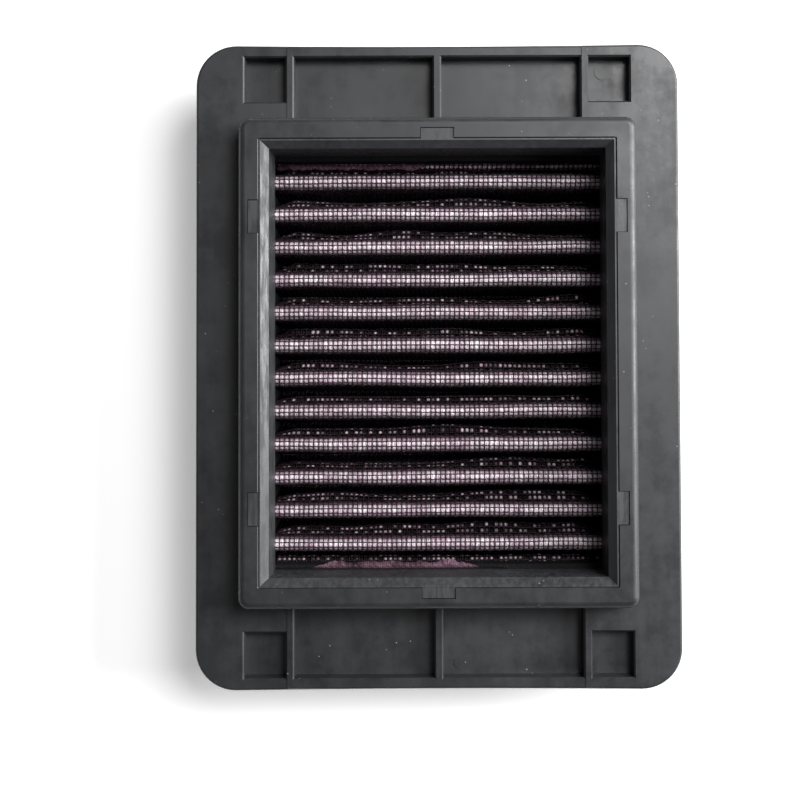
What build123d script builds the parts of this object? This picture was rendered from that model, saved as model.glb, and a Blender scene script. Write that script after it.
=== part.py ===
from build123d import *
import os
from math import acos, atan2, cos, degrees, hypot, radians, sin

os.makedirs("parts", exist_ok=True)

# Panel air filter for a motorcycle, lying flat with its front collar up.
# X runs across the width, Y along the length, Z out through the front collar, in mm.

# Flange plate
flange_width = 138.0
flange_length = 184.0
flange_corner_radius = 11.5
flange_end_bow = 0.5
flange_rear_z = 18.0
flange_front_z = 26.0
flange_edge_radius = 0.8

# The collars and the pleated pack sit slightly off the middle of the flange
window_offset_y = 1.0

# Front collar
collar_foot_width = 113.0
collar_foot_length = 138.5
collar_corner_radius = 4.0
collar_rim_inset = 1.25
rim_z = 35.0
rim_edge_radius = 2.1
rim_inner_break = 0.2
cavity_width = 99.5
cavity_length = 124.4
cavity_corner_radius = 0.5

# Rear collar and the ledge that carries the pleats
rear_collar_wall = 2.4
rear_ledge_thickness = 1.6
rear_window_width = 92.0
rear_window_length = 117.0
rear_window_corner_radius = 2.0

# Front recesses at both ends of the flange
recess_depth = 4.0
recess_end_y = 88.4
recess_draft_inset = 0.1
recess_edge_break = 0.4
rib_width = 2.4
outer_rib_x = 42.2
large_recess_inner_y = 64.0
small_recess_outer_x = 55.2
small_recess_inner_y = 75.5

# Fine moulding marks
seam_ridge_width = 0.4
seam_ridge_height = 0.2
seam_ridge_shift = -0.5
seam_ridge_end_y = 91.0
ejector_mark_height = 0.15
large_ejector_mark = (48.0, 84.9, 2.4)
small_ejector_mark = (5.8, -85.2, 1.5)
gate_stub_length = 3.6
gate_stub_height = 2.4
gate_stub_reach = 0.35
rim_strip_x = (49.95, 51.7)
rim_strip_y = (46.6, 63.6)
rim_strip_height = 0.12

# Rear cores in the two long sides of the flange
core_inner_x = 59.5
core_outer_x = 66.5
core_length = 24.0
core_pitch = 27.0
core_corner_radius = 1.5
core_depth = 5.5
cores_per_side = 5

# Notches in the rim and the locating tabs that sit in them
notch_length = 9.4
notch_width = 3.0
notch_floor_z = 29.6
side_notch_y = 40.5
tab_length = 9.1
tab_width = 2.85
tab_top_z = 34.6
tab_bottom_z = 29.8

# Retainer frame inside the front collar
retainer_gap = 0.15
retainer_top_z = 34.8
retainer_land = 0.4
retainer_window_width = 94.2
retainer_window_length = 119.5
retainer_slope_end_z = 32.8
retainer_bottom_z = 21.1

# Pleated pack
pleat_count = 12
pleat_pitch = 9.54
pleat_bend_radius = 1.55
front_crest_z = 21.0
rear_crest_z = 2.0
pack_width = 96.0
end_lip_y = 58.9
end_lip_edge_y = 61.9
end_lip_drop = 5.0
screen_thickness = 0.3
gauze_thickness = 0.2
layer_gap = 0.1
gauze_plies = 4

# Sealant beads around the pack
sealant_gap = 0.1
end_bead_inner_y = 58.3

# Gasket glued to the rear face of the flange
gasket_width = 4.0
gasket_thickness = 2.0
gasket_gap = 0.6


def rounded_block(width, length, radius, bottom_z, top_z, taper=0.0):
    """Upright block with rounded corners, centred on the filter window."""
    outline = Pos(0, window_offset_y, bottom_z) * RectangleRounded(width, length, radius)
    return extrude(outline, top_z - bottom_z, taper=taper)


def box_between(x_range, y_range, z_range):
    """Box between two corners."""
    x, y, z = (sum(span) / 2 for span in (x_range, y_range, z_range))
    size = [abs(span[1] - span[0]) for span in (x_range, y_range, z_range)]
    return Pos(x, y, z) * Box(*size)


def frustum(centre_x, centre_y, low_size, low_z, high_size, high_z):
    """Straight-sided plug between a rectangle below and a rectangle above."""
    low = Pos(centre_x, centre_y, low_z) * Rectangle(*low_size)
    high = Pos(centre_x, centre_y, high_z) * Rectangle(*high_size)
    return loft([low.face(), high.face()])


def flange_plate():
    """Flat plate whose two short edges bow slightly inwards."""
    x = flange_width / 2
    y = flange_length / 2
    middle_y = y - flange_end_bow
    edges = [
        Line((-x, -y), (-x, y)),
        ThreePointArc((-x, y), (0, middle_y), (x, y)),
        Line((x, y), (x, -y)),
        ThreePointArc((x, -y), (0, -middle_y), (-x, -y)),
    ]
    outline = make_face(edges)
    outline = fillet(outline.vertices(), flange_corner_radius)
    plate = extrude(Pos(0, 0, flange_rear_z) * outline, flange_front_z - flange_rear_z)
    flats = plate.faces().filter_by(Axis.Z)
    return fillet(flats.edges(), flange_edge_radius)


def recess(x_range, y_range):
    """Drafted recess sunk into the flange front, with broken edges."""
    x = sum(x_range) / 2
    y = sum(y_range) / 2
    width = abs(x_range[1] - x_range[0])
    length = abs(y_range[1] - y_range[0])
    floor_size = (width - 2 * recess_draft_inset, length - 2 * recess_draft_inset)
    mouth_size = (width + 2 * recess_edge_break, length + 2 * recess_edge_break)
    floor_z = flange_front_z - recess_depth
    break_z = flange_front_z - recess_edge_break
    hollow = frustum(x, y, floor_size, floor_z, (width, length), flange_front_z)
    edge_break = frustum(x, y, (width, length), break_z, mouth_size, flange_front_z)
    return hollow + edge_break


def end_recesses(end):
    """Two wide recesses and two small ones at one end of the flange."""
    far_y = end * recess_end_y
    half_rib = rib_width / 2
    cuts = []
    for side in (-1, 1):
        wide_x = (side * half_rib, side * (outer_rib_x - half_rib))
        small_x = (side * (outer_rib_x + half_rib), side * small_recess_outer_x)
        cuts.append(recess(wide_x, (end * large_recess_inner_y, far_y)))
        cuts.append(recess(small_x, (end * small_recess_inner_y, far_y)))
    return cuts


def side_cores():
    """Row of cores sunk into the rear of each long side."""
    middle_x = (core_inner_x + core_outer_x) / 2
    first_y = -core_pitch * (cores_per_side - 1) / 2
    cuts = []
    for side in (-1, 1):
        for index in range(cores_per_side):
            place = Pos(side * middle_x, first_y + index * core_pitch, flange_rear_z)
            width = core_outer_x - core_inner_x
            outline = place * RectangleRounded(width, core_length, core_corner_radius)
            cuts.append(extrude(outline, core_depth))
    return cuts


def moulding_marks():
    """Seam ridges, ejector marks, the two gate stubs and the thin strip on the rim."""
    marks = []
    ridge_z = (flange_front_z - seam_ridge_height, flange_front_z + seam_ridge_height)
    stub_z = (flange_front_z + flange_rear_z) / 2
    edge_y = flange_length / 2 - flange_end_bow
    foot_y = collar_foot_length / 2
    for end in (-1, 1):
        for side in (-1, 1):
            x = side * outer_rib_x + seam_ridge_shift
            half = seam_ridge_width / 2
            y_range = (end * foot_y + window_offset_y, end * seam_ridge_end_y)
            marks.append(box_between((x - half, x + half), y_range, ridge_z))
        stub = Box(gate_stub_length, 2 * gate_stub_reach, gate_stub_height)
        marks.append(Pos(0, end * edge_y, stub_z) * stub)
    floor_z = flange_front_z - recess_depth
    for x, y, radius in (large_ejector_mark, small_ejector_mark):
        marks.append(Pos(x, y, floor_z) * Cylinder(radius, 2 * ejector_mark_height))
    marks.append(box_between(rim_strip_x, rim_strip_y, (rim_z - rim_strip_height, rim_z + rim_strip_height)))
    return marks


def tab_places():
    """Middle of each locating tab on the cavity wall, with its outward direction."""
    half_x = cavity_width / 2
    half_y = cavity_length / 2
    places = [(0, half_y, 90), (0, -half_y, -90)]
    for y in (-side_notch_y, side_notch_y):
        places.append((half_x, y, 0))
        places.append((-half_x, y, 180))
    return places


def wall_block(place, reach, length, bottom_z, top_z):
    """Block standing across the cavity wall at one tab place, from inner to outer reach."""
    x, y, angle = place
    block = box_between(reach, (-length / 2, length / 2), (bottom_z, top_z))
    return Pos(x, y + window_offset_y, 0) * Rot(0, 0, angle) * block


def front_collar():
    """Tapered front collar standing on the flange, before its cavity is cut."""
    draft = degrees(atan2(collar_rim_inset, rim_z - flange_front_z))
    block = rounded_block(
        collar_foot_width, collar_foot_length, collar_corner_radius,
        flange_front_z, rim_z, draft,
    )
    rim = block.faces().sort_by(Axis.Z)[-1]
    return fillet(rim.edges(), rim_edge_radius)


def cavity():
    """Straight cavity through the collars above the rear ledge, with a broken rim edge."""
    straight = rounded_block(
        cavity_width, cavity_length, cavity_corner_radius, rear_ledge_thickness, rim_z,
    )
    lead_in = rounded_block(
        cavity_width, cavity_length, cavity_corner_radius,
        rim_z - rim_inner_break, rim_z, -45.0,
    )
    return straight + lead_in


def outer_frame():
    """Flange, front collar and rear collar in one moulding."""
    rear_width = cavity_width + 2 * rear_collar_wall
    rear_length = cavity_length + 2 * rear_collar_wall
    rear_radius = cavity_corner_radius + rear_collar_wall
    body = flange_plate()
    for end in (-1, 1):
        body = body - end_recesses(end)
    body = body - side_cores()
    body = body + rounded_block(
        collar_foot_width, collar_foot_length, collar_corner_radius,
        flange_rear_z, flange_front_z,
    )
    body = body + front_collar()
    body = body + rounded_block(rear_width, rear_length, rear_radius, 0, flange_rear_z)
    body = body + moulding_marks()
    body = body - cavity()
    body = body - rounded_block(
        rear_window_width, rear_window_length, rear_window_corner_radius,
        0, rear_ledge_thickness,
    )
    for place in tab_places():
        notch = wall_block(place, (-1, notch_width), notch_length, notch_floor_z, rim_z)
        body = body - notch
    return body


def retainer_frame():
    """Bevelled ring with six locating tabs that drops into the front collar."""
    outer_width = cavity_width - 2 * retainer_gap
    outer_length = cavity_length - 2 * retainer_gap
    window_size = (retainer_window_width, retainer_window_length)
    mouth_size = (outer_width - 2 * retainer_land, outer_length - 2 * retainer_land)
    ring = rounded_block(
        outer_width, outer_length, cavity_corner_radius - retainer_gap,
        retainer_bottom_z, retainer_top_z,
    )
    for place in tab_places():
        tab = wall_block(place, (-1, tab_width), tab_length, tab_bottom_z, tab_top_z)
        ring = ring + tab
    bevel = frustum(
        0, window_offset_y, window_size, retainer_slope_end_z, mouth_size, retainer_top_z,
    )
    window = frustum(
        0, window_offset_y, window_size, retainer_bottom_z, window_size, retainer_slope_end_z,
    )
    return ring - bevel - window


def pack_thickness():
    """Whole thickness of two screens, the gauze plies and the gaps between them."""
    gaps = (gauze_plies + 1) * layer_gap
    return 2 * screen_thickness + gauze_plies * gauze_thickness + gaps


def pleat_bends():
    """Bend centres from end lip to end lip: every second one is a rear valley."""
    inset = pack_thickness() / 2 + pleat_bend_radius
    top_z = front_crest_z - inset
    bottom_z = rear_crest_z + inset
    first_crest_y = pleat_pitch * (pleat_count - 1) / 2
    fronts = [(end_lip_y, top_z - end_lip_drop)]
    for index in range(pleat_count):
        fronts.append((first_crest_y - index * pleat_pitch, top_z))
    fronts.append((-end_lip_y, top_z - end_lip_drop))
    bends = [fronts[0]]
    for previous, current in zip(fronts, fronts[1:]):
        bends.append(((previous[0] + current[0]) / 2, bottom_z))
        bends.append(current)
    return bends


def wall_lean(first, second):
    """Angle in degrees between the vertical and the wall that joins two bends."""
    across = abs(second[0] - first[0])
    drop = abs(second[1] - first[1])
    reach = acos(2 * pleat_bend_radius / hypot(across, drop))
    return degrees(reach - atan2(drop, across))


def on_bend(bend, radius, angle):
    """Point on a bend in the YZ plane."""
    turn = radians(angle)
    return (bend[0] + radius * cos(turn), bend[1] + radius * sin(turn))


def pleat_line(offset):
    """Edges of the folded sheet at one distance in front of the middle of the pack."""
    bends = pleat_bends()
    front_radius = pleat_bend_radius + offset
    rear_radius = pleat_bend_radius - offset
    lip_z = bends[0][1] + front_radius
    here = (end_lip_edge_y, lip_z)
    arrive = 90.0
    edges = []
    for index, bend in enumerate(bends):
        is_front = index % 2 == 0
        radius = front_radius if is_front else rear_radius
        if bend is bends[-1]:
            leave = 90.0
        elif is_front:
            leave = 180 - wall_lean(bend, bends[index + 1])
        else:
            leave = wall_lean(bend, bends[index + 1]) - 180
        start = on_bend(bend, radius, arrive)
        middle = on_bend(bend, radius, (arrive + leave) / 2)
        end = on_bend(bend, radius, leave)
        edges.append(Line(here, start))
        edges.append(ThreePointArc(start, middle, end))
        here = end
        arrive = leave - 180 if is_front else leave + 180
    edges.append(Line(here, (-end_lip_edge_y, lip_z)))
    return edges


def pleated_sheet(rear_offset, front_offset):
    """One folded layer of the pack between two distances from its middle."""
    lip_z = pleat_bends()[0][1] + pleat_bend_radius
    caps = [
        Line((y, lip_z + rear_offset), (y, lip_z + front_offset))
        for y in (-end_lip_edge_y, end_lip_edge_y)
    ]
    profile = make_face(pleat_line(rear_offset) + pleat_line(front_offset) + caps)
    plane = Plane.YZ.offset(-pack_width / 2)
    return Pos(0, window_offset_y, 0) * extrude(plane * profile, pack_width)


def pack_layers():
    """Every layer of the pack by name, from the front screen back to the rear screen."""
    stack = [("front_screen", screen_thickness)]
    for ply in range(1, gauze_plies + 1):
        stack.append((f"gauze_ply_{ply}", gauze_thickness))
    stack.append(("rear_screen", screen_thickness))
    layers = {}
    front = pack_thickness() / 2
    for name, thickness in stack:
        layers[name] = pleated_sheet(front - thickness, front)
        front = front - thickness - layer_gap
    return layers


def side_sealant(side):
    """Slab of sealant that closes the pleat ends along one long side."""
    x_range = (side * (pack_width / 2 + sealant_gap), side * (cavity_width / 2 - sealant_gap))
    reach = cavity_length / 2 - cavity_corner_radius
    y_range = (window_offset_y - reach, window_offset_y + reach)
    z_range = (rear_ledge_thickness + sealant_gap, front_crest_z)
    return box_between(x_range, y_range, z_range)


def end_sealant(end):
    """Bead of sealant on the lip of the pack at one short side."""
    outer_y = cavity_length / 2 - sealant_gap
    y_range = (end * end_bead_inner_y + window_offset_y, end * outer_y + window_offset_y)
    z_range = (front_crest_z - end_lip_drop + sealant_gap, front_crest_z)
    return box_between((-pack_width / 2, pack_width / 2), y_range, z_range)


def flange_gasket():
    """Flat sealing ring glued to the rear of the flange around the rear collar."""
    inner_width = cavity_width + 2 * (rear_collar_wall + gasket_gap)
    inner_length = cavity_length + 2 * (rear_collar_wall + gasket_gap)
    inner_radius = cavity_corner_radius + rear_collar_wall + gasket_gap
    bottom_z = flange_rear_z - gasket_thickness
    outside = rounded_block(
        inner_width + 2 * gasket_width, inner_length + 2 * gasket_width,
        inner_radius + gasket_width, bottom_z, flange_rear_z,
    )
    inside = rounded_block(inner_width, inner_length, inner_radius, bottom_z, flange_rear_z)
    return outside - inside


parts = {
    "outer_frame": outer_frame(),
    "retainer_frame": retainer_frame(),
    "left_pleat_sealant": side_sealant(-1),
    "right_pleat_sealant": side_sealant(1),
    "top_end_sealant": end_sealant(1),
    "bottom_end_sealant": end_sealant(-1),
    "flange_gasket": flange_gasket(),
}
parts.update(pack_layers())

for name, shape in parts.items():
    export_step(shape, f"parts/{name}.step")
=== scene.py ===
import math

import bpy
import numpy as np
from mathutils import Euler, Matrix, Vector, noise


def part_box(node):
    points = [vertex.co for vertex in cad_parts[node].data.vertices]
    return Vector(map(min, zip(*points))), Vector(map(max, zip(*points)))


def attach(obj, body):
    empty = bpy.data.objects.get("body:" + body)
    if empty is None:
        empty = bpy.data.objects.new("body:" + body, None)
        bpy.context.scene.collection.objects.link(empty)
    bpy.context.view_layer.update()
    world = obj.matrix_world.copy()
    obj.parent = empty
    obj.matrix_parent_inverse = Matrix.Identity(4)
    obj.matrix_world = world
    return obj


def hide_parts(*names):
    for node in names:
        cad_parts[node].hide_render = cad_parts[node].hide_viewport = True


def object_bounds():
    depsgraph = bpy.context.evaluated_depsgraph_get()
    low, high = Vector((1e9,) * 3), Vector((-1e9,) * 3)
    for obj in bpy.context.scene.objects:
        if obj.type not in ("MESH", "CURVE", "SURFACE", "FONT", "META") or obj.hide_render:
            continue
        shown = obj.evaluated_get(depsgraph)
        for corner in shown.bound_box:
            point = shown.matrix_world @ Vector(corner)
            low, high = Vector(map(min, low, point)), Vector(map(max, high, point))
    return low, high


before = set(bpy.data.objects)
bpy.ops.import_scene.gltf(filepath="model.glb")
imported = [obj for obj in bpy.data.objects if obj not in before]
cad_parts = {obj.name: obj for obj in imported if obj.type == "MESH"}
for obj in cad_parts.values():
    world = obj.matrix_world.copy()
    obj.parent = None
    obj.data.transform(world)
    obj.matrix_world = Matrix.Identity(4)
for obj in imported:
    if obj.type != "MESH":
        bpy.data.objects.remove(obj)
cad_low, cad_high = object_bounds()

# Lengths are in metres. The pleats run along X, and the window faces +Z.
MM = 0.001

# The folded pack: the same folds as the frame's screens
PLEAT_COUNT = 12
PLEAT_PITCH = 9.54 * MM
BEND_RADIUS = 1.55 * MM
HALF_PACK = 0.95 * MM
LIP_Y = 58.9 * MM
LIP_EDGE_Y = 61.9 * MM
LIP_DROP = 5.0 * MM

# The side of each pleat towards the top bulges a little below its crest
BULGE_DEPTH = 6.4 * MM
BULGE_SPREAD = 1.7 * MM
BULGE_REACH = 2.6 * MM
BULGE_HOLD = 6 * MM

# Slow unevenness of the whole pack, held back near the sealed pleat ends
SWAY_Y = 0.32 * MM
SWAY_Z = 0.22 * MM
SWAY_HOLD = 8 * MM

# Woven screens
WIRE_PITCH = 25.4 * MM / 18
WIRE_RADIUS = 0.14 * MM
WIRE_WAVE = 0.12 * MM
FRONT_WIRE_LEVEL = 0.68 * MM
REAR_WIRE_LEVEL = -0.68 * MM
FALL_REACH = 3.0 * MM
CLIMB_REACH = 8.0 * MM
ROW_DRIFT = 0.16 * MM
COLUMN_DRIFT = 0.14 * MM
TUBE_SIDES = 4

# Gauze plies
OUTER_PLY_LEVEL = 0.42 * MM
INNER_PLY_LEVEL = 0.12 * MM
PILLOW = 0.30 * MM
WALL_PILLOW_SHARE = 0.4

front_low, front_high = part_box("front_screen")
rear_low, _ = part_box("rear_screen")
PACK_LEFT, PACK_RIGHT = front_low.x, front_high.x
WINDOW_Y = (front_low.y + front_high.y) / 2
CREST_TOP = front_high.z
VALLEY_BOTTOM = rear_low.z


# ---------------------------------------------------------------- fold line

def pleat_bends():
    """Bend centres from the top lip to the bottom lip: every second one is a rear valley."""
    inset = HALF_PACK + BEND_RADIUS
    top_z = CREST_TOP - inset
    bottom_z = VALLEY_BOTTOM + inset
    first_y = PLEAT_PITCH * (PLEAT_COUNT - 1) / 2
    fronts = [(LIP_Y, top_z - LIP_DROP)]
    for index in range(PLEAT_COUNT):
        fronts.append((first_y - index * PLEAT_PITCH, top_z))
    fronts.append((-LIP_Y, top_z - LIP_DROP))
    bends = [fronts[0]]
    for before, after in zip(fronts, fronts[1:]):
        bends.append(((before[0] + after[0]) / 2, bottom_z))
        bends.append(after)
    return bends


def wall_lean(first, second):
    """Angle between the vertical and the wall that joins two bends."""
    across = abs(second[0] - first[0])
    drop = abs(second[1] - first[1])
    return math.acos(2 * BEND_RADIUS / math.hypot(across, drop)) - math.atan2(drop, across)


def fold_segments(level):
    """Straight and curved stretches of the fold line at one level, in order."""
    bends = pleat_bends()
    arrive = math.pi / 2
    here = (LIP_EDGE_Y, bends[0][1] + BEND_RADIUS + level)
    segments = []
    for index, bend in enumerate(bends):
        is_front = index % 2 == 0
        radius = BEND_RADIUS + level if is_front else BEND_RADIUS - level
        if bend is bends[-1]:
            leave = math.pi / 2
        elif is_front:
            leave = math.pi - wall_lean(bend, bends[index + 1])
        else:
            leave = wall_lean(bend, bends[index + 1]) - math.pi
        start = (bend[0] + radius * math.cos(arrive), bend[1] + radius * math.sin(arrive))
        segments.append({"kind": "wall", "from": here, "to": start, "front": None})
        segments.append({"kind": "bend", "centre": bend, "radius": radius,
                         "arrive": arrive, "leave": leave, "front": is_front})
        here = (bend[0] + radius * math.cos(leave), bend[1] + radius * math.sin(leave))
        arrive = leave - math.pi if is_front else leave + math.pi
    lip = (-LIP_EDGE_Y, bends[-1][1] + BEND_RADIUS + level)
    segments.append({"kind": "wall", "from": here, "to": lip, "front": None})
    for segment in segments:
        if segment["kind"] == "wall":
            (y0, z0), (y1, z1) = segment["from"], segment["to"]
            segment["length"] = math.hypot(y1 - y0, z1 - z0)
        else:
            segment["length"] = segment["radius"] * abs(segment["leave"] - segment["arrive"])
    return segments


class FoldLine:
    """Fold line at one level, walked by distance from the top lip."""

    def __init__(self, level):
        self.segments = fold_segments(level)
        lengths = [segment["length"] for segment in self.segments]
        self.starts = np.concatenate([[0.0], np.cumsum(lengths)])
        self.length = float(self.starts[-1])

    def index_at(self, distance):
        """Number of the stretch that holds a distance."""
        index = int(np.searchsorted(self.starts, distance, side="right")) - 1
        return min(max(index, 0), len(self.segments) - 1)

    def rises(self, index):
        """True for a wall that climbs to a front crest, seen from the top lip."""
        inside = 0 < index < len(self.segments) - 1
        is_wall = self.segments[index]["kind"] == "wall"
        return inside and is_wall and bool(self.segments[index + 1]["front"])

    def at(self, distance):
        """Point and front normal in the YZ plane at one distance."""
        index = self.index_at(distance)
        segment = self.segments[index]
        share = (distance - self.starts[index]) / max(segment["length"], 1e-9)
        if segment["kind"] == "bend":
            angle = segment["arrive"] + share * (segment["leave"] - segment["arrive"])
            direction = np.array([math.cos(angle), math.sin(angle)])
            centre = np.array(segment["centre"])
            normal = direction if segment["front"] else -direction
            return centre + segment["radius"] * direction, normal
        first, last = np.array(segment["from"]), np.array(segment["to"])
        along = (last - first) / max(segment["length"], 1e-9)
        normal = np.array([along[1], -along[0]])
        return first + share * (last - first), normal

    def stations(self, front, reaches, fine_step, coarse_steps):
        """Distances along the line: fine near the bends on one side, coarse elsewhere."""
        marks = []
        for index, segment in enumerate(self.segments):
            start, length = self.starts[index], segment["length"]
            if segment["kind"] == "bend":
                if segment["front"] == front:
                    count = max(4, round(length / fine_step))
                else:
                    count = coarse_steps
                marks.extend(start + length * i / count for i in range(count))
                continue
            before = self.segments[index - 1]["front"] if index else front
            after = self.segments[index + 1]["front"] if index + 1 < len(self.segments) else front
            marks.append(start)
            fall, climb = (min(reach, length * 0.7) for reach in reaches)
            if before == front:
                count = max(1, round(fall / fine_step))
                marks.extend(start + fall * i / count for i in range(1, count + 1))
            if after == front:
                count = max(1, round(climb / fine_step))
                marks.extend(start + length - climb + climb * i / count for i in range(count))
        marks.append(self.length)
        marks = np.array(sorted(marks))
        keep = np.concatenate([[True], np.diff(marks) > 1e-6])
        return marks[keep]


def near_fold(line, distance, front):
    """True if a distance lies on a bend of one side or close to it."""
    index = line.index_at(distance)
    segment = line.segments[index]
    if segment["kind"] == "bend":
        return segment["front"] == front
    before = line.segments[index - 1]["front"] if index else front
    last = index + 1 >= len(line.segments)
    after = front if last else line.segments[index + 1]["front"]
    from_start = distance - line.starts[index]
    from_end = line.starts[index + 1] - distance
    return (before == front and from_start < FALL_REACH) or (after == front and from_end < CLIMB_REACH)


def held_back(x, reach):
    """Share of the unevenness that is free at one place: none at the sealed pleat ends."""
    edge = min(x - PACK_LEFT, PACK_RIGHT - x) / reach
    return max(0.0, min(1.0, edge))


def bulge(line, x, distance):
    """Sideways swelling of a climbing wall at one place."""
    index = line.index_at(distance)
    if not line.rises(index):
        return 0.0
    spot, _ = line.at(distance)
    below = (CREST_TOP - spot[1] - BULGE_DEPTH) / BULGE_SPREAD
    wander = noise.noise(Vector((x / (19 * MM), index * 3.1, 0.4)))
    free = held_back(x, BULGE_HOLD)
    return BULGE_REACH * (0.72 + 0.6 * wander) * math.exp(-below * below) * free


def sway(x, y, z):
    """Small slow unevenness shared by every layer of the pack."""
    at = Vector((x / (26 * MM), y / (7 * MM), z / (30 * MM)))
    shift_y = noise.noise(at) * SWAY_Y
    shift_z = noise.noise(at + Vector((9.1, 3.7, 5.2))) * SWAY_Z
    free = held_back(x, SWAY_HOLD)
    return shift_y * free, shift_z * free


def pack_point(line, x, distance, lift):
    """Point of the pack at one distance and height over the fold line, with its unevenness."""
    spot, normal = line.at(distance)
    y, z = spot + normal * lift
    y += bulge(line, x, distance)
    shift_y, shift_z = sway(x, y, z)
    return (x, WINDOW_Y + y + shift_y, z + shift_z)


# ---------------------------------------------------------------- mesh helpers

def new_object(name, points, faces, material, smooth=True):
    """Mesh object from points and faces."""
    mesh = bpy.data.meshes.new(name)
    mesh.from_pydata([tuple(p) for p in points], [], faces)
    mesh.update()
    if smooth:
        mesh.polygons.foreach_set("use_smooth", [True] * len(mesh.polygons))
    mesh.materials.append(material)
    obj = bpy.data.objects.new(name, mesh)
    bpy.context.scene.collection.objects.link(obj)
    return obj


def mark_cells(obj, phases):
    """Store on a mesh where each point lies in the grid of screen openings."""
    mesh = obj.data
    layer = mesh.uv_layers.new(name="cells")
    corners = np.zeros(len(mesh.loops), dtype=np.int32)
    mesh.loops.foreach_get("vertex_index", corners)
    layer.data.foreach_set("uv", np.array(phases)[corners].ravel())


def add_tube(points, faces, path, frames, radius, sides):
    """Adds a tube with end caps along a path, each station with its two cross directions."""
    base = len(points)
    for centre, (across, out) in zip(path, frames):
        for side in range(sides):
            turn = 2 * math.pi * side / sides
            points.append(centre + radius * (math.cos(turn) * across + math.sin(turn) * out))
    count = len(path)
    for station in range(count - 1):
        low = base + station * sides
        for side in range(sides):
            after = (side + 1) % sides
            faces.append((low + side, low + after, low + sides + after, low + sides + side))
    faces.append(tuple(base + side for side in reversed(range(sides))))
    faces.append(tuple(base + (count - 1) * sides + side for side in range(sides)))


def screen_wires(name, level, front, material):
    """Two woven sets of wires for one screen: one across the pleats, one over the folds."""
    line = FoldLine(level)
    rows = int(line.length / WIRE_PITCH)
    columns = int((PACK_RIGHT - PACK_LEFT) / WIRE_PITCH)
    start_x = (PACK_LEFT + PACK_RIGHT) / 2 - (columns - 1) * WIRE_PITCH / 2
    row_start = (line.length - (rows - 1) * WIRE_PITCH) / 2
    x_axis = np.array([1.0, 0.0, 0.0])

    points, faces = [], []
    for row in range(rows):
        distance = row_start + row * WIRE_PITCH
        wavy = near_fold(line, distance, front)
        steps = 2 * columns if wavy else 8
        xs = np.linspace(PACK_LEFT + WIRE_PITCH * 0.2, PACK_RIGHT - WIRE_PITCH * 0.2, steps + 1)
        path, frames = [], []
        for x in xs:
            drift = noise.noise(Vector((x / (17 * MM), row * 0.63, level / MM))) * ROW_DRIFT
            _, normal = line.at(distance + drift)
            lift = 0.0
            if wavy:
                lift = WIRE_WAVE * math.cos(math.pi * ((x - start_x) / WIRE_PITCH + row))
            path.append(np.array(pack_point(line, x, distance + drift, lift)))
            out = np.array([0.0, normal[0], normal[1]])
            frames.append((np.cross(x_axis, out), out))
        add_tube(points, faces, path, frames, WIRE_RADIUS, TUBE_SIDES)
    across = new_object(f"{name}_wires_across", points, faces, material)

    marks = line.stations(front, (FALL_REACH, CLIMB_REACH), WIRE_PITCH / 2, 4)
    points, faces = [], []
    for column in range(columns):
        centre_x = start_x + column * WIRE_PITCH
        path, frames = [], []
        for distance in marks:
            _, normal = line.at(distance)
            lift = 0.0
            if near_fold(line, distance, front):
                phase = (distance - row_start) / WIRE_PITCH + column
                lift = -WIRE_WAVE * math.cos(math.pi * phase)
            drift = noise.noise(Vector((column * 0.71, distance / (23 * MM), level / MM)))
            x = centre_x + drift * COLUMN_DRIFT
            path.append(np.array(pack_point(line, x, distance, lift)))
            frames.append((x_axis, np.array([0.0, normal[0], normal[1]])))
        add_tube(points, faces, path, frames, WIRE_RADIUS, TUBE_SIDES)
    over = new_object(f"{name}_wires_over", points, faces, material)
    return across, over


def gauze_sheet(name, level, front, pillow, material):
    """One ply of gauze. An outer ply swells through the openings of its screen."""
    line = FoldLine(level)
    screen = FoldLine(FRONT_WIRE_LEVEL if front else REAR_WIRE_LEVEL)
    rows = int(screen.length / WIRE_PITCH)
    screen_start = (screen.length - (rows - 1) * WIRE_PITCH) / 2
    columns = int((PACK_RIGHT - PACK_LEFT) / WIRE_PITCH)
    start_x = (PACK_LEFT + PACK_RIGHT) / 2 - (columns - 1) * WIRE_PITCH / 2
    steps = 3 * columns if pillow else columns // 2
    xs = np.linspace(PACK_LEFT + 0.2 * MM, PACK_RIGHT - 0.2 * MM, steps + 1)
    if pillow:
        marks = line.stations(front, (FALL_REACH, CLIMB_REACH), WIRE_PITCH / 3, 3)
    else:
        marks = line.stations(front, (WIRE_PITCH, CLIMB_REACH), WIRE_PITCH, 4)
    swell_sign = 1 if front else -1
    points, phases = [], []
    for mark in marks:
        index = line.index_at(mark)
        share = (mark - line.starts[index]) / max(line.segments[index]["length"], 1e-9)
        matched = screen.starts[index] + share * screen.segments[index]["length"]
        row_phase = (matched - screen_start) / WIRE_PITCH
        for x in xs:
            lift = 0.0
            column_phase = (x - start_x) / WIRE_PITCH
            phases.append((column_phase, row_phase))
            if pillow and near_fold(line, mark, front):
                cell = abs(math.sin(math.pi * row_phase) * math.sin(math.pi * column_phase))
                cell_size = 0.75 + 0.5 * noise.noise(
                    Vector((math.floor(column_phase) * 1.7, math.floor(row_phase) * 2.3, level / MM)))
                lift = swell_sign * PILLOW * cell_size * cell ** 0.6
                if line.segments[index]["kind"] == "wall":
                    lift *= WALL_PILLOW_SHARE
            points.append(pack_point(line, x, mark, lift))
    width = len(xs)
    faces = []
    for row in range(len(marks) - 1):
        for column in range(width - 1):
            corner = row * width + column
            faces.append((corner, corner + width, corner + width + 1, corner + 1))
    obj = new_object(name, points, faces, material)
    mark_cells(obj, phases)
    flat = (float(xs[-1] - xs[0]), line.length)
    return obj, flat


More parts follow.
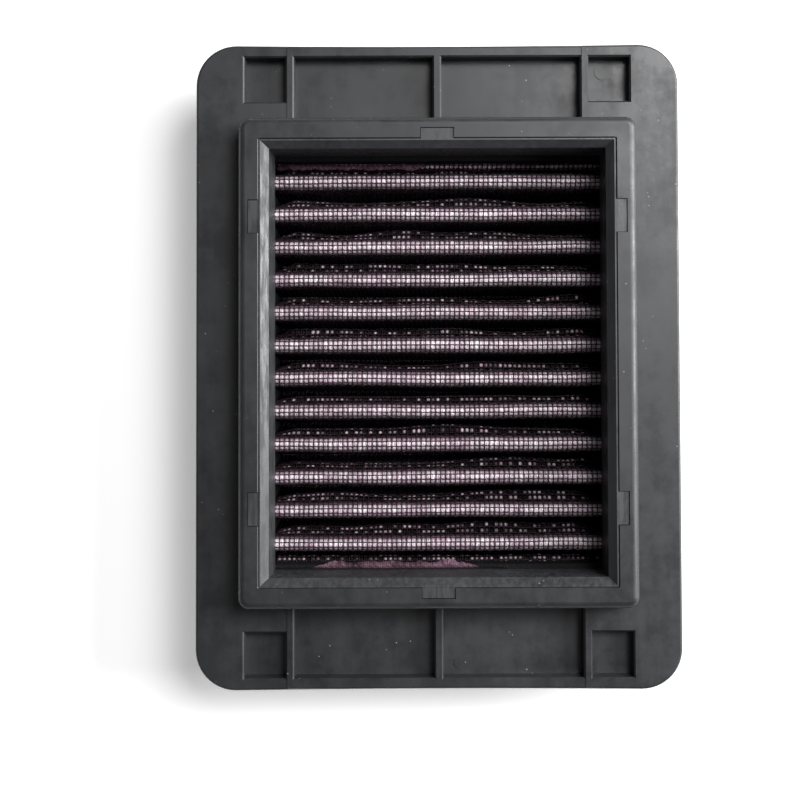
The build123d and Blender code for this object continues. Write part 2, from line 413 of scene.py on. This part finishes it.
def smooth_step(value, low, high):
    """Soft ramp from 0 at low to 1 at high."""
    share = max(0.0, min(1.0, (value - low) / (high - low)))
    return share * share * (3 - 2 * share)


def selvage_strip(name, end, root, breadth, rise, lie, stand_to, material):
    """Raw edge of the front ply: a frayed flap over the end fold, then a thin edge that fades away.

    root is the flap's distance from the middle of the window and its height, lie the span of X
    over which it has its full breadth, and rise how far its free edge ends above its root.
    """
    across = 12
    xs = np.linspace(PACK_LEFT + 1.0 * MM, stand_to, 420)
    points = []
    for x in xs:
        hump = noise.noise(Vector((x / (5.5 * MM), end * 2.0, 7.0)))
        lump = noise.noise(Vector((x / (1.6 * MM), end * 9.0, 3.0)))
        fray = noise.noise(Vector((x / (0.5 * MM), end * 4.0, 0.0)))
        broad = smooth_step(x, lie[0] - 6 * MM, lie[0] + 3 * MM)
        broad *= 1 - smooth_step(x, lie[1] - 3 * MM, lie[1] + 4 * MM)
        fade = 1 - smooth_step(x, stand_to - 6 * MM, stand_to)
        ragged = 1.15 + 0.9 * hump + 0.35 * lump + 0.1 * fray
        reach = (0.3 * MM + broad * breadth * max(0.15, ragged)) * fade
        lift = 0.8 * MM + broad * (rise - 0.8 * MM)
        shift_y, shift_z = sway(x, end * root[0], root[1])
        foot = np.array([x, WINDOW_Y + end * root[0] + shift_y, root[1] + abs(shift_z)])
        for step in range(across + 1):
            share = step / across
            pucker = noise.noise(Vector((x / (1.2 * MM), share * 2.2, end * 5.0))) * 0.35 * MM
            crown = math.sin(math.pi * share) * 0.5 * MM * broad
            points.append(tuple(foot + np.array([
                0.0, -end * share * reach, share * lift + crown + pucker * broad * share])))
    width = across + 1
    faces = []
    for row in range(len(xs) - 1):
        for column in range(across):
            corner = row * width + column
            faces.append((corner, corner + width, corner + width + 1, corner + 1))
    return new_object(name, points, faces, material)


# ---------------------------------------------------------------- materials

def material(name):
    """New material with its Principled shader and output."""
    made = bpy.data.materials.new(name)
    made.use_nodes = True
    nodes = made.node_tree.nodes
    shader = next(node for node in nodes if node.type == "BSDF_PRINCIPLED")
    return made, made.node_tree, shader


def noise_node(tree, coords, scale, detail=4.0, roughness=0.55):
    """Noise texture in object coordinates."""
    node = tree.nodes.new("ShaderNodeTexNoise")
    node.inputs["Scale"].default_value = scale
    node.inputs["Detail"].default_value = detail
    node.inputs["Roughness"].default_value = roughness
    tree.links.new(coords, node.inputs["Vector"])
    return node


def ramp(tree, source, stops):
    """Colour ramp from (position, colour) stops."""
    node = tree.nodes.new("ShaderNodeValToRGB")
    elements = node.color_ramp.elements
    while len(elements) < len(stops):
        elements.new(0.5)
    for element, (position, colour) in zip(elements, stops):
        element.position = position
        element.color = (*colour, 1.0)
    tree.links.new(source, node.inputs["Fac"])
    return node


def spread(tree, source, low, high, to_low, to_high):
    """Map a value from one range to another, clamped."""
    node = tree.nodes.new("ShaderNodeMapRange")
    for key, value in zip(("From Min", "From Max", "To Min", "To Max"), (low, high, to_low, to_high)):
        node.inputs[key].default_value = value
    tree.links.new(source, node.inputs["Value"])
    return node


def mix_colour(tree, factor, first, second):
    """Mix two colours by a factor socket."""
    node = tree.nodes.new("ShaderNodeMix")
    node.data_type = "RGBA"
    tree.links.new(factor, node.inputs["Factor"])
    for socket, value in ((node.inputs[6], first), (node.inputs[7], second)):
        if isinstance(value, tuple):
            socket.default_value = (*value, 1.0)
        else:
            tree.links.new(value, socket)
    return node


def bump(tree, height, strength, distance, below=None):
    """Bump node over an optional earlier bump."""
    node = tree.nodes.new("ShaderNodeBump")
    node.inputs["Strength"].default_value = strength
    node.inputs["Distance"].default_value = distance
    tree.links.new(height, node.inputs["Height"])
    if below is not None:
        tree.links.new(below, node.inputs["Normal"])
    return node


def math_node(tree, operation, first, second=None):
    """Math node on sockets or numbers."""
    node = tree.nodes.new("ShaderNodeMath")
    node.operation = operation
    for socket, value in zip(node.inputs, (first, second)):
        if value is None:
            continue
        if isinstance(value, (int, float)):
            socket.default_value = value
        else:
            tree.links.new(value, socket)
    return node.outputs["Value"]


def blend(tree, kind, first, second):
    """Blend two colours, or a colour and a value, in full."""
    node = tree.nodes.new("ShaderNodeMix")
    node.data_type = "RGBA"
    node.blend_type = kind
    node.inputs["Factor"].default_value = 1.0
    tree.links.new(first, node.inputs[6])
    tree.links.new(second, node.inputs[7])
    return node.outputs[2]


def mix_values(tree, share, first, second):
    """Mix two value sockets by a fixed share."""
    node = tree.nodes.new("ShaderNodeMix")
    node.inputs["Factor"].default_value = share
    tree.links.new(first, node.inputs[2])
    tree.links.new(second, node.inputs[3])
    return node.outputs[0]


def plastic(name, dark, light, rough_low, rough_high, streaks, streak_scale):
    """Satin moulded plastic with flow marks, smudges, dust specks and a fine grain."""
    made, tree, shader = material(name)
    coords = tree.nodes.new("ShaderNodeTexCoord").outputs["Object"]
    cloud = noise_node(tree, coords, 38, 3)
    stretch = tree.nodes.new("ShaderNodeMapping")
    stretch.inputs["Scale"].default_value = (1.0, 0.16, 1.0)
    tree.links.new(coords, stretch.inputs["Vector"])
    flow = noise_node(tree, stretch.outputs["Vector"], streak_scale, 5, 0.62)
    fine = noise_node(tree, coords, 2600, 2)
    specks = tree.nodes.new("ShaderNodeTexVoronoi")
    specks.inputs["Scale"].default_value = 430
    tree.links.new(coords, specks.inputs["Vector"])
    speck_size = spread(tree, specks.outputs["Distance"], 0.04, 0.11, 1.0, 0.0)
    picked = noise_node(tree, coords, 110, 2)
    speck_pick = spread(tree, picked.outputs["Fac"], 0.55, 0.66, 0.0, 0.9)
    speck = tree.nodes.new("ShaderNodeMath")
    speck.operation = "MULTIPLY"
    tree.links.new(speck_size.outputs["Result"], speck.inputs[0])
    tree.links.new(speck_pick.outputs["Result"], speck.inputs[1])
    clouded = spread(tree, cloud.outputs["Fac"], 0.36, 0.64, 0, 1)
    base = mix_colour(tree, clouded.outputs["Result"], dark, light)
    dusty = mix_colour(tree, speck.outputs["Value"], base.outputs[2], (0.30, 0.30, 0.31))
    tree.links.new(dusty.outputs[2], shader.inputs["Base Color"])
    shader.inputs["Specular IOR Level"].default_value = 0.8
    smudges = noise_node(tree, coords, 95, 6, 0.7)
    uneven = mix_values(tree, streaks, smudges.outputs["Fac"], flow.outputs["Fac"])
    rough = spread(tree, uneven, 0.41, 0.59, rough_low, rough_high)
    tree.links.new(rough.outputs["Result"], shader.inputs["Roughness"])
    first = bump(tree, fine.outputs["Fac"], 0.25, 0.00004)
    second = bump(tree, uneven, 0.25, 0.0001, first.outputs["Normal"])
    tree.links.new(second.outputs["Normal"], shader.inputs["Normal"])
    return made


def wire_coat():
    """Dark epoxy coat with a little plum tint and bare, lighter rubs, and painted shade deep in the folds.
    """
    made, tree, shader = material("wire_coat")
    coords = tree.nodes.new("ShaderNodeTexCoord").outputs["Object"]
    patch = noise_node(tree, coords, 420, 3)
    colour = ramp(tree, patch.outputs["Fac"], [
        (0.30, (0.015, 0.008, 0.012)), (0.62, (0.036, 0.021, 0.030)), (0.80, (0.09, 0.075, 0.085))])
    height = tree.nodes.new("ShaderNodeSeparateXYZ")
    tree.links.new(coords, height.inputs["Vector"])
    # Painted shade: the coat is darker, and less glossy, deep in the folds
    depth_shade = spread(tree, height.outputs["Z"], CREST_TOP - 2.2 * MM, CREST_TOP - 0.8 * MM, 0.5, 1)
    shaded_coat = blend(tree, "MULTIPLY", colour.outputs["Color"], depth_shade.outputs["Result"])
    tree.links.new(shaded_coat, shader.inputs["Base Color"])
    gloss = math_node(tree, "MULTIPLY", depth_shade.outputs["Result"], 0.5)
    tree.links.new(gloss, shader.inputs["Specular IOR Level"])
    rough = spread(tree, patch.outputs["Fac"], 0.3, 0.7, 0.34, 0.52)
    tree.links.new(rough.outputs["Result"], shader.inputs["Roughness"])
    grain = noise_node(tree, coords, 5200, 2)
    tree.links.new(bump(tree, grain.outputs["Fac"], 0.3, 0.00002).outputs["Normal"], shader.inputs["Normal"])
    return made


def cell_pattern(tree):
    """Swelling of the gauze in each screen opening, and one random value per opening."""
    cells = tree.nodes.new("ShaderNodeUVMap")
    cells.uv_map = "cells"
    split = tree.nodes.new("ShaderNodeSeparateXYZ")
    tree.links.new(cells.outputs["UV"], split.inputs["Vector"])
    waves, steps = [], []
    for axis in ("X", "Y"):
        turn = math_node(tree, "MULTIPLY", split.outputs[axis], math.pi)
        waves.append(math_node(tree, "ABSOLUTE", math_node(tree, "SINE", turn)))
        steps.append(math_node(tree, "FLOOR", split.outputs[axis]))
    swell = math_node(tree, "MULTIPLY", *waves)
    joined = tree.nodes.new("ShaderNodeCombineXYZ")
    tree.links.new(steps[0], joined.inputs["X"])
    tree.links.new(steps[1], joined.inputs["Y"])
    dice = tree.nodes.new("ShaderNodeTexWhiteNoise")
    dice.noise_dimensions = "2D"
    tree.links.new(joined.outputs["Vector"], dice.inputs["Vector"])
    return swell, dice.outputs["Value"]


def thread_pattern(tree, coords):
    """Crossed cotton threads."""
    bands = []
    for direction, scale in (("X", 520), ("DIAGONAL", 380)):
        wave = tree.nodes.new("ShaderNodeTexWave")
        wave.wave_type = "BANDS"
        wave.bands_direction = direction
        wave.inputs["Scale"].default_value = scale
        wave.inputs["Distortion"].default_value = 1.6
        wave.inputs["Detail"].default_value = 1.0
        tree.links.new(coords, wave.inputs["Vector"])
        bands.append(wave.outputs["Fac"])
    return math_node(tree, "MAXIMUM", *bands)


def gauze(name, pale, deep, celled, height_shade_ramp, gloss):
    """Oiled cotton gauze: crossed threads and oil blotches, with painted light and shade by height; outer
    plies also get painted shade next to the wires, painted glints on random openings and a painted lift on
    the side facing away from the lamps.
    """
    made, tree, shader = material(name)
    places = tree.nodes.new("ShaderNodeTexCoord")
    coords = places.outputs["Object"]
    blotch = noise_node(tree, coords, 150, 4)
    mottled = noise_node(tree, coords, 900, 3)
    threads = thread_pattern(tree, coords)
    oil = spread(tree, blotch.outputs["Fac"], 0.38, 0.66, 0, 1)
    tint = mix_colour(tree, oil.outputs["Result"], pale, deep).outputs[2]
    shade = spread(tree, threads, 0.2, 0.9, 0.55, 1.0).outputs["Result"]
    tint = blend(tree, "MULTIPLY", tint, shade)
    height = tree.nodes.new("ShaderNodeSeparateXYZ")
    tree.links.new(coords, height.inputs["Vector"])
    level = spread(tree, height.outputs["Z"], CREST_TOP - 12 * MM, CREST_TOP, 0, 1).outputs["Result"]
    # Painted light and shade: the colour is scaled by height over the folds
    height_shade = ramp(tree, level, height_shade_ramp).outputs["Color"]
    if celled:
        facing = tree.nodes.new("ShaderNodeSeparateXYZ")
        tree.links.new(places.outputs["Normal"], facing.inputs["Vector"])
        # Painted light: surfaces facing -Y, away from the lamps, are lifted so they do not fall to black
        shaded_side = spread(tree, facing.outputs["Y"], -0.5, -0.1, 1, 0).outputs["Result"]
        height_shade = blend(tree, "LIGHTEN", height_shade, math_node(tree, "MULTIPLY", shaded_side, 0.55))
        swell, chance = cell_pattern(tree)
        edge = math_node(tree, "MULTIPLY_ADD", chance, 0.34)
        edge.node.inputs[2].default_value = -0.12
        # Painted shade: each opening darkens towards the wires around it
        wire_edge_shade = ramp(tree, math_node(tree, "SUBTRACT", swell, edge), [
            (0.02, (0.24, 0.12, 0.19)), (0.20, (0.58, 0.42, 0.52)), (0.40, (1.0, 1.0, 1.0))])
        tint = blend(tree, "MULTIPLY", tint, wire_edge_shade.outputs["Color"])
        uneven = spread(tree, chance, 0.0, 0.6, 1.0, 0.66).outputs["Result"]
        tint = blend(tree, "MULTIPLY", tint, uneven)
        # Painted light: crests stay bright, and below them only random openings keep painted glints
        on_crest = spread(tree, level, 0.70, 0.80, 0, 1).outputs["Result"]
        painted_glints = spread(tree, chance, 0.36, 0.95, 0.02, 1.0).outputs["Result"]
        painted_glints = math_node(tree, "MULTIPLY", painted_glints, spread(tree, swell, 0.45, 0.85, 0.03, 1.0).outputs["Result"])
        painted_light_mask = math_node(tree, "MAXIMUM", math_node(tree, "MAXIMUM", on_crest, painted_glints), shaded_side)
        tint = blend(tree, "MULTIPLY", tint, painted_light_mask)
    tint = blend(tree, "MULTIPLY", tint, height_shade)
    tree.links.new(tint, shader.inputs["Base Color"])
    rough = spread(tree, mottled.outputs["Fac"], 0.3, 0.7, 0.28, 0.46)
    tree.links.new(rough.outputs["Result"], shader.inputs["Roughness"])
    # Less glossy deep down, which keeps the folds dark: painted shade
    crest_gloss = spread(tree, level, 0.78, 0.92, 0.06, gloss)
    tree.links.new(crest_gloss.outputs["Result"], shader.inputs["Specular IOR Level"])
    weave = bump(tree, threads, 0.6, 0.00008)
    rough_bump = bump(tree, mottled.outputs["Fac"], 0.6, 0.00012, weave.outputs["Normal"])
    tree.links.new(rough_bump.outputs["Normal"], shader.inputs["Normal"])
    return made


def foam(name, colour, pores):
    """Matt black rubber or foam with fine pores."""
    made, tree, shader = material(name)
    coords = tree.nodes.new("ShaderNodeTexCoord").outputs["Object"]
    cells = tree.nodes.new("ShaderNodeTexVoronoi")
    cells.inputs["Scale"].default_value = pores
    tree.links.new(coords, cells.inputs["Vector"])
    cloud = noise_node(tree, coords, 160, 3)
    lighter = tuple(channel * 2.2 for channel in colour)
    tint = mix_colour(tree, cloud.outputs["Fac"], colour, lighter)
    tree.links.new(tint.outputs[2], shader.inputs["Base Color"])
    rough = spread(tree, cloud.outputs["Fac"], 0.3, 0.7, 0.72, 0.9)
    tree.links.new(rough.outputs["Result"], shader.inputs["Roughness"])
    shader.inputs["Specular IOR Level"].default_value = 0.15
    pitted = bump(tree, cells.outputs["Distance"], 0.6, 0.0002)
    tree.links.new(pitted.outputs["Normal"], shader.inputs["Normal"])
    return made


frame_plastic = plastic(
    "frame_plastic", (0.010, 0.0106, 0.0125), (0.018, 0.0192, 0.022), 0.40, 0.57, 0.3, 260)
# About twice as light as the frame plastic; the extra lightness stands in for fill light on the shaded
# window walls: painted light
lightened_retainer_plastic = plastic(
    "lightened_retainer_plastic", (0.024, 0.025, 0.028), (0.040, 0.0415, 0.045), 0.34, 0.64, 0.85, 800)
wire = wire_coat()
# Painted light and shade by height: nearly black deep down, a paler lit bulge, dark shaded flanks and pale
# lit crests
PLEAT_HEIGHT_SHADE = [
    (0.20, (0.10, 0.09, 0.10)), (0.40, (0.95, 0.86, 0.90)), (0.58, (0.95, 0.86, 0.90)),
    (0.68, (0.09, 0.07, 0.082)), (0.86, (0.10, 0.07, 0.088)), (0.92, (0.46, 0.38, 0.43)),
    (0.965, (1.0, 1.0, 1.0))]
# Painted shade by height: darker deep down
EVEN_HEIGHT_SHADE = [(0.0, (0.10, 0.08, 0.09)), (0.35, (1.0, 1.0, 1.0))]
outer_gauze = gauze("outer_gauze", (0.97, 0.88, 0.93), (0.78, 0.60, 0.70), True, PLEAT_HEIGHT_SHADE, 0.8)
inner_gauze = gauze("inner_gauze", (0.50, 0.36, 0.44), (0.30, 0.17, 0.25), False, PLEAT_HEIGHT_SHADE, 0.4)
# The front ply's raw edge in a much darker copy of its cloth, for the shade it lies in: painted shade
shaded_selvage_gauze = gauze(
    "shaded_selvage_gauze", (0.14, 0.075, 0.108), (0.05, 0.023, 0.036), False, EVEN_HEIGHT_SHADE, 0.2)
sealant = foam("sealant", (0.004, 0.004, 0.0045), 900)
gasket = foam("gasket_foam", (0.012, 0.012, 0.013), 1500)


def dress(node, made):
    """Give a frame node its material."""
    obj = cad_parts[node]
    obj.data.materials.clear()
    obj.data.materials.append(made)


dress("outer_frame", frame_plastic)
dress("retainer_frame", lightened_retainer_plastic)
dress("flange_gasket", gasket)
for node in ("left_pleat_sealant", "right_pleat_sealant", "top_end_sealant", "bottom_end_sealant"):
    dress(node, sealant)

# ---------------------------------------------------------------- pleated pack

for name, level, is_front in (("front_screen", FRONT_WIRE_LEVEL, True),
                              ("rear_screen", REAR_WIRE_LEVEL, False)):
    for piece in screen_wires(name, level, is_front, wire):
        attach(piece, "root")
        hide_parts(name)

selvage_top = selvage_strip(
    "selvage_top", end=1, root=(58.1 * MM, 16.1 * MM), breadth=1.0 * MM, rise=0.5 * MM,
    lie=(PACK_LEFT, -4 * MM), stand_to=34 * MM, material=shaded_selvage_gauze)
selvage_bottom = selvage_strip(
    "selvage_bottom", end=-1, root=(59.2 * MM, 21.05 * MM), breadth=1.2 * MM, rise=-0.6 * MM,
    lie=(-32 * MM, 9 * MM), stand_to=20 * MM, material=shaded_selvage_gauze)
selvages = [selvage_top, selvage_bottom]
for selvage in selvages:
    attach(selvage, "root")

plies = (
    ("gauze_ply_1", OUTER_PLY_LEVEL, True, True, outer_gauze, "front_screen_wires_over"),
    ("gauze_ply_2", INNER_PLY_LEVEL, True, False, inner_gauze, "gauze_ply_1_cloth"),
    ("gauze_ply_3", -INNER_PLY_LEVEL, False, False, inner_gauze, "gauze_ply_2_cloth"),
    ("gauze_ply_4", -OUTER_PLY_LEVEL, False, True, outer_gauze, "rear_screen_wires_over"),
)
for name, level, is_front, pillow, made, held_by in plies:
    piece, flat = gauze_sheet(f"{name}_cloth", level, is_front, pillow, made)
    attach(piece, "root")
    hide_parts(name)

# ---------------------------------------------------------------- studio

FLOOR_HALF = 3.0
FLOOR_CLEARANCE = 0.2 * MM
floor_mesh = bpy.data.meshes.new("floor")
floor_mesh.from_pydata(
    [(-FLOOR_HALF, -FLOOR_HALF, 0), (FLOOR_HALF, -FLOOR_HALF, 0),
     (FLOOR_HALF, FLOOR_HALF, 0), (-FLOOR_HALF, FLOOR_HALF, 0)],
    [], [(0, 1, 2, 3)])
floor = bpy.data.objects.new("floor", floor_mesh)
floor.location.z = cad_low.z - FLOOR_CLEARANCE
bpy.context.scene.collection.objects.link(floor)
floor_paint, _, floor_shader = material("floor_paint")
floor_shader.inputs["Base Color"].default_value = (0.93, 0.93, 0.93, 1)
floor_shader.inputs["Roughness"].default_value = 0.9
floor_shader.inputs["Emission Color"].default_value = (1.0, 1.0, 1.0, 1)
floor_shader.inputs["Emission Strength"].default_value = 0.35
floor_mesh.materials.append(floor_paint)

scene = bpy.context.scene
scene.view_settings.view_transform = "Standard"
world = bpy.data.worlds.new("studio")
scene.world = world
world.use_nodes = True
background = world.node_tree.nodes["Background"]
background.inputs["Color"].default_value = (1.0, 1.0, 1.0, 1)
background.inputs["Strength"].default_value = 0.115


def softbox(name, place, aim, size, watts):
    """Area light aimed at a point."""
    lamp = bpy.data.lights.new(name, "AREA")
    lamp.shape = "RECTANGLE"
    lamp.size, lamp.size_y = size
    lamp.energy = watts
    obj = bpy.data.objects.new(name, lamp)
    obj.location = place
    obj.rotation_euler = (Vector(aim) - Vector(place)).to_track_quat("-Z", "Y").to_euler()
    scene.collection.objects.link(obj)
    return obj


softbox("key_light", (0.42, 0.38, 0.81), (0, 0, 0.02), (0.46, 0.46), 8.6)
softbox("side_light", (0.90, 0.14, 0.48), (0, 0, 0.02), (0.46, 0.40), 15.0)

# ---------------------------------------------------------------- camera

FLANGE_FRONT = 26 * MM
CAMERA_HEIGHT = 310 * MM
LENS = 49.0
TILT = math.radians(1.36)
ROLL = math.radians(-0.21)
camera_data = bpy.data.cameras.new("camera")
camera_data.sensor_width = 36
camera_data.lens = LENS
camera_data.shift_x = -0.0475
camera_data.shift_y = -0.0801
camera = bpy.data.objects.new("camera", camera_data)
camera.location = (0.0, WINDOW_Y, FLANGE_FRONT + CAMERA_HEIGHT)
camera.rotation_euler = Euler((TILT, 0, ROLL))
scene.collection.objects.link(camera)
scene.camera = camera
